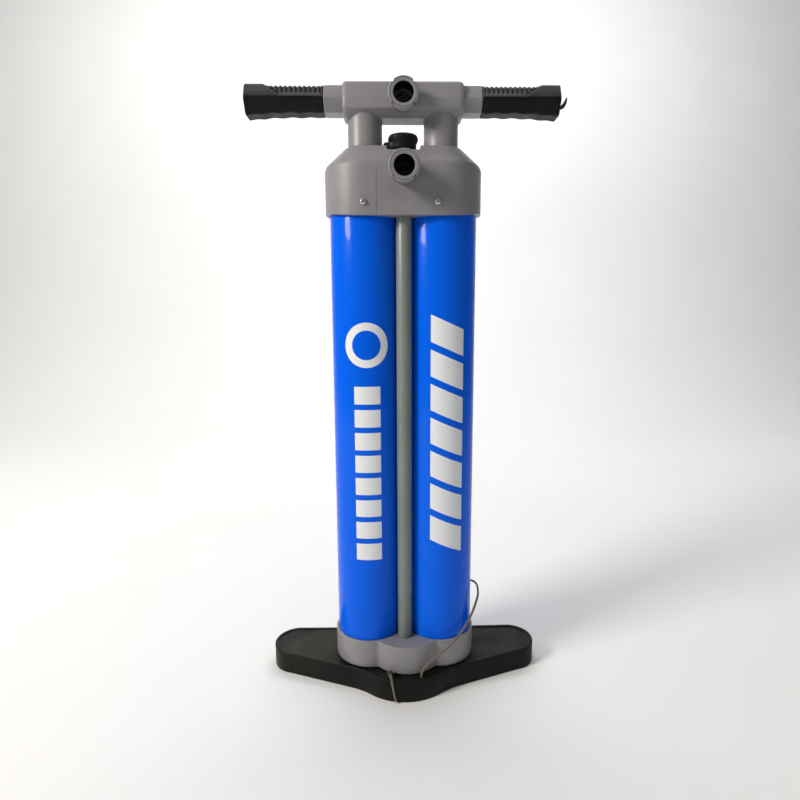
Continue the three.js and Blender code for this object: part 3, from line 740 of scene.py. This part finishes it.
def handle_body():
    """The body between the grips, with its necks, the upper port's seat and the shafts' sockets."""
    soft = rounded(BODY_FACETS, [2, 2, 2.5, 2, 2, 2, 2, 2, 2, 2.5], 4)
    body = mesh_of("handle_body", [along_handle(soft, BODY_STATIONS)], 28)
    whole = carve(body, [along_handle(rounded(NECK_FACETS, 2.2, 4), NECK_STATIONS)], "UNION", 28)
    port_root = at(0, UPPER_PORT["root"], UPPER_PORT["z"]) @ FORWARD
    cutters = [moved(cylinder(PORT_R + FIT, 0, 30), port_root)]
    cutters.append(moved(cylinder(DUCT_R, -16, 1), port_root))
    shaft_way = cylinder(SHAFT_R + FIT / 2, 590, 622)
    cutters += [moved(shaft_way, at(side * HALF_PITCH, 0, 0)) for side in (-1, 1)]
    return carve(whole, cutters, sharp=28)


piece("handle_casting", handle_body(), "grey_plastic", "handle", "handle_body")
for label, side in SIDES:
    tube = pipe("shaft", SHAFT_R, 3, 56.8, 621.5, side * HALF_PITCH, 0, 0.3, FINE)
    piece("shaft_" + label + "_tube", tube, "grey_plastic", "handle", "shaft_" + label)

# ---- Grips ----------------------------------------------------------------------------------------------
GRIP_START, GRIP_END = 79.3, 158.0
GRIP_STEPS = 190
RIBS = 10
RIBS_FROM, RIBS_SPAN = 0.03, 0.6  # as shares of the grip's length


def share(value, low, high):
    """0 below low, 1 above high, and even between them."""
    return max(0.0, min(1.0, (value - low) / (high - low)))


def grip_point(y, z, t):
    """The point of the section at y and z, at the share t of the grip's length from its inner end.

    The upper facets carry ribs, then a slanted groove and a smooth cap that stands a little higher. The
    lower ones flare towards the outer end and are waved for the fingers.
    """
    up = z - HANDLE_Z
    below, above = share(-up, 0, 11), share(up, -1, 4)
    groove_t = 0.57 + 0.016 * (up - 3)
    ribbed = share(up, 2, 5) if RIBS_FROM < t < groove_t - 0.02 else 0.0
    rib = abs(math.sin(math.pi * ((t - RIBS_FROM) / RIBS_SPAN * RIBS))) ** 0.7
    on_groove = above * max(0.0, 1 - abs(t - groove_t) / 0.013)
    sink = 1.5 * on_groove + ribbed * (1.15 - rib) * 1.7
    pull = 1 - sink / math.hypot(y, up)
    lift = 1.3 * above * share(t, groove_t, groove_t + 0.04)
    flare = 2.9 * max(0, (t - 0.35) / 0.65) ** 2
    wave = 0.45 * math.sin(t * 4.2 * 2 * math.pi - 0.4) * min(1, t * 6) * min(1, (1 - t) * 8)
    return [y * pull, HANDLE_Z + up * pull + lift - below * (flare + wave)]


def grip(side):
    """A rubber grip with rounded ends, bored for the handle's spigot."""
    base = filled(rounded(NECK_FACETS, [4, 4, 4, 4.5, 4.5, 4], 7), 1.3)
    shares = [s / GRIP_STEPS for s in range(GRIP_STEPS + 1)]
    sections = [[grip_point(y, z, t) for y, z in base] for t in shares]
    # The first and last sections are drawn in, to round the ends.
    for k, tuck in ((0, 0.955), (1, 0.985), (-1, 0.86), (-2, 0.95), (-3, 0.985)):
        middle = sum(z for _, z in sections[k]) / len(base)
        sections[k] = [[y * tuck, middle + (z - middle) * tuck] for y, z in sections[k]]
    places = [side * (GRIP_START + t * (GRIP_END - GRIP_START)) for t in shares]
    part = skin([[(x, y, z) for y, z in points] for x, points in zip(places, sections)])
    sideways = at(0, 0, HANDLE_Z) @ Matrix.Rotation(side * math.pi / 2, 4, "Y")
    return carve(mesh_of("grip", [part], 30), [moved(cylinder(10.3, 70, 147, 48), sideways)], sharp=30)


for label, side in SIDES:
    piece("grip_" + label + "_rubber", grip(side), "black_rubber", "handle", "grip_" + label)


# ---- Selector knob --------------------------------------------------------------------------------------
def knob_field(x, y):
    """The knob's outline from above: a disc with a thumb lobe to its left."""
    return blend_min([math.hypot(x, y) - 13.6, capsule(x, y, (0, 0, 9.5), (-13.4, 0, 6.7))], 3)


def knob():
    """The knob: skirt, thumb lobe and a fluted cap with a pointer line cut in its top."""
    lobe = rounded([(5, 578.6), (0, 578.6), (0, 585.2), (3, 585.7)], [0, 1.2, 1.2, 0], 4, closed=False)
    cap = rounded([(8, 579), (12.6, 582), (15.3, 587.2), (15.5, 589.6), (14.3, 592.1), (0, 592.1)],
                  [0, 2, 2, 0.8, 0.8, 0], 4, closed=False)
    skirt = [(0, 574.1), (12.2, 574.1), (12.4, 574.4), (12.4, 584), (0, 584)]
    turned = [lathe([(0, 579)] + cap, 72, closed=False), lathe(skirt, 72, closed=False)]
    whole = carve(mesh_of("selector_knob", [shell(knob_field, lobe, 144)], 35), turned, "UNION", 35)
    angles = [2 * math.pi * (i + 0.5) / 16 for i in range(16)]
    flute = cylinder(1.1, 588.6, 596, 12)
    flutes = [moved(flute, at(16.1 * math.cos(a), 16.1 * math.sin(a), 0)) for a in angles]
    pointer = block(-11.5, -3, -0.6, 0.6, 591.6, 596)
    spindle_way = cylinder(3.1, 570, 584.6, 24)
    return carve(whole, [*flutes, pointer, spindle_way], sharp=35)


piece("selector_dial", knob(), "black_knob", "selector", "selector_knob")

# ---- Leash ----------------------------------------------------------------------------------------------
UNDER_PLATE = [(-17, -56.3, 25.2), (-17, -56.3, 23.7), (-15.4, -56, 19.8), (-11.5, -55.5, 18.2),
               (0, -55, 18.2), (11.5, -55.5, 18.2), (15.4, -56, 19.8), (17, -56.3, 23.7)]
ROUND_BARREL = [
    (17, -56.3, 25.6), (17.6, -56.2, 30), (23, -54.8, 36.5), (36, -50.5, 45.5), (49, -45.2, 53.5),
    (60.5, -37, 62), (71.5, -26.5, 72.5), (81, -12.5, 84), (86, 2, 92), (84.5, 16.5, 95.5),
    (76.5, 28, 93), (63.5, 36, 88), (48, 40, 82), (33, 39.8, 76), (20, 35, 70), (10, 29.5, 64.5),
    (3.5, 28, 60), (1, 30.5, 58), (0.5, 34.8, 54.5), (1.5, 38.5, 46), (3.5, 42.5, 34),
    (7, 47.5, 28), (13, 52.5, 23.5), (20, 56, 14), (26, 59.5, 6.5), (30, 61.8, 3.9),
]
COIL_TO_KNOT = [(7.5, 92.5, 3.1), (3.6, 88.4, 2.0), (1.9, 85.2, 1.9)]
LOOSE_END = [(-16.6, -58.6, 28.4), (-16.3, -60.8, 29), (-15.9, -63, 28.6), (-15.3, -64.8, 26.6),
             (-14.6, -65.5, 22.5), (-13.6, -65.9, 17), (-12.6, -66.2, 11.5), (-11.6, -66.5, 6.5),
             (-10.8, -66.65, 2.6)]
COIL_X, COIL_Y = 27.7, 82.8
LAYER_Z = (1.4, 3.9)  # the cord's centre in the coil's lower and upper layer


def coil_points():
    """Four turns on the floor from the outside in, then three on top of them from the inside out."""
    points = []
    per_turn = 16
    for i in range(7 * per_turn + 1):
        turn = i / per_turn
        if turn < 3.5:
            radius = 18.1 - 2.55 * max(0.0, turn - 0.25) * (3 / 3.25)
            z = LAYER_Z[0]
        elif turn < 4:
            radius = 10.45
            z = LAYER_Z[0] + 2.5 * (turn - 3.5) / 0.5
        else:
            radius = 10.45 + 2.0 * (turn - 4)
            z = LAYER_Z[1]
        angle = math.radians(-55) + 2 * math.pi * turn
        points.append((COIL_X + radius * math.cos(angle), COIL_Y + radius * math.sin(angle), z))
    return points


def cord_curve(name, points, look):
    """Leash cord along the points, on the pump's body."""
    curve = bpy.data.curves.new(name, "CURVE")
    curve.dimensions = "3D"
    curve.bevel_depth = LEASH_D / 2 * MM
    curve.bevel_resolution = 4
    curve.use_fill_caps = True
    curve.resolution_u = 6
    spline = curve.splines.new("BEZIER")
    spline.bezier_points.add(len(points) - 1)
    for knot, point in zip(spline.bezier_points, points):
        knot.co = Vector(point) * MM
        knot.handle_left_type = knot.handle_right_type = "AUTO"
    curve.materials.append(LOOKS[look])
    made = bpy.data.objects.new(name, curve)
    bpy.context.collection.objects.link(made)
    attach(made, "pump_body")
    return made


def overhand_knot(name, centre, size, look, *nodes):
    """A pulled-tight trefoil of the same cord."""
    points, count = [], 72
    for i in range(count):
        t = 2 * math.pi * i / count
        x, y = (math.sin(t) + 2 * math.sin(2 * t)) / 3, (math.cos(t) - 2 * math.cos(2 * t)) / 3
        points.append(Vector((x, y, -math.sin(3 * t) * 0.75)) * size)
    rings = []
    for i, point in enumerate(points):
        ahead = (points[(i + 1) % count] - points[i - 1]).normalized()
        side = ahead.cross(Vector((0.3, 0.2, 1))).normalized()
        rings.append(ring_round(point, side, side.cross(ahead), LEASH_D / 2 * 0.96, 10))
    part = moved(skin(rings, closed=True), at(*centre))
    return piece(name, mesh_of(name, [part], 80), look, "pump_body", *nodes)


cord = cord_curve("leash_line", UNDER_PLATE + ROUND_BARREL + coil_points() + COIL_TO_KNOT, "tan_cord")
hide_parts("leash_bridge", "leash_cord", "leash_coil")
stop = overhand_knot("leash_stop_knot", (1.7, 82.8, 3.2), 1.75, "tan_cord", "leash_end_knot")
overhand_knot("leash_tie", (-17, -56.6, 28.9), 2.3, "dark_cord", "leash_knot")
tail = cord_curve("leash_loose_end", LOOSE_END, "tan_cord")
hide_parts("leash_tail")


# ---- Grip tag -------------------------------------------------------------------------------------------
def grip_tag():
    """The frayed end of dark cord that hangs out of the right grip's cap."""
    path = [Vector(p) for p in ((158.3, 0, 619), (160.6, -0.6, 619.4), (163, -1, 621), (165, -1, 623.6),
                                (166.4, -1, 627), (167, -1, 629.8))]
    radii = (1.0, 1.5, 2.0, 1.7, 1.2, 0.5)
    side = Vector((0, 1, 0))
    rings = []
    for i, (point, radius) in enumerate(zip(path, radii)):
        ahead = (path[min(i + 1, len(path) - 1)] - path[max(i - 1, 0)]).normalized()
        rings.append(ring_round(point, side, ahead.cross(side).normalized(), radius, 12, flat=0.7))
    return mesh_of("grip_tag", [skin(rings)], 60)


piece("grip_tag", grip_tag(), "dark_cord", "handle", "grip_tail")

# ---- CAD nodes that keep their shape get their material -------------------------------------------------
CARRIED = {
    "steel": ["foot_screw_1", "foot_screw_2", "foot_screw_3", "foot_screw_4", "piston_bolt_left",
              "piston_bolt_right"],
    "black_rubber": ["bottom_gasket_left", "bottom_gasket_right", "top_gasket_left", "top_gasket_right",
                     "bottom_valve_left", "bottom_valve_right", "top_valve_left", "top_valve_right",
                     "tube_gasket_bottom", "tube_gasket_top", "shaft_seal_left", "shaft_seal_right",
                     "piston_seal_left", "piston_seal_right"],
    "white_nylon": ["shaft_bush_left", "shaft_bush_right", "piston_left", "piston_right",
                    "selector_spindle"],
}
for look, names in CARRIED.items():
    for name in names:
        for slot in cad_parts[name].material_slots:
            slot.material = LOOKS[look]


# ---- Floor, backdrop and lights: sizes in metres --------------------------------------------------------
FLOOR_END, BEND_R, WALL_TOP = 1.1, 0.9, 4.0


def studio():
    """Pale paper that covers the floor and bends up into a backdrop."""
    paper = Shader("paper", (0.86, 0.86, 0.85), 0.75)
    cloud = paper.ramp(paper.noise(3, 3), 0.3, 0.7)
    paper.color(paper.mix(cloud, (0.85, 0.85, 0.845), (0.87, 0.87, 0.865)))
    paper.bump(paper.noise(300, 3), 0.03, 0.2)
    bend = [math.pi / 2 * k / 16 for k in range(1, 17)]
    arc = [(-2.5, 0.0), (FLOOR_END, 0.0)]
    arc += [(FLOOR_END + BEND_R * math.sin(a), BEND_R - BEND_R * math.cos(a)) for a in bend]
    arc.append((FLOOR_END + BEND_R, WALL_TOP))
    verts = [(x, y, z - 0.0001) for y, z in arc for x in (-4, 4)]
    sweep = bpy.data.meshes.new("sweep")
    sweep.from_pydata(verts, [], [[2 * i, 2 * i + 1, 2 * i + 3, 2 * i + 2] for i in range(len(arc) - 1)])
    smooth(sweep, 80)
    sweep.materials.append(paper.material)
    floor = bpy.data.objects.new("sweep", sweep)
    bpy.context.collection.objects.link(floor)


def area_light(name, place, target, size, power, color):
    """A rectangular light at a place, aimed at a target."""
    data = bpy.data.lights.new(name, "AREA")
    data.shape = "RECTANGLE"
    data.size, data.size_y = size
    data.energy = power
    data.color = color
    light = bpy.data.objects.new(name, data)
    bpy.context.collection.objects.link(light)
    light.location = place
    light.rotation_euler = (Vector(target) - Vector(place)).to_track_quat("-Z", "Y").to_euler()


studio()
area_light("key", (-1.7, -0.95, 1.5), (0, 0, 0.33), (0.6, 0.6), 42, (1.0, 0.95, 0.88))
area_light("fill", (1.5, -1.1, 0.9), (0, 0, 0.3), (1.4, 1.4), 1, (0.93, 0.96, 1.0))
area_light("top", (0, 0.2, 2.0), (0, 0, 0.3), (1.6, 1.6), 7, (1, 1, 1))
area_light("backdrop", (0, 0.9, 1.9), (0, 1.9, 0.5), (2.5, 0.6), 24, (1, 1, 1))
world = bpy.data.worlds.new("studio")
bpy.context.scene.world = world
world.use_nodes = True
sky = world.node_tree.nodes["Background"].inputs
sky["Color"].default_value = (0.95, 0.97, 1.0, 1)
sky["Strength"].default_value = 0.17
bpy.context.scene.view_settings.view_transform = "Standard"
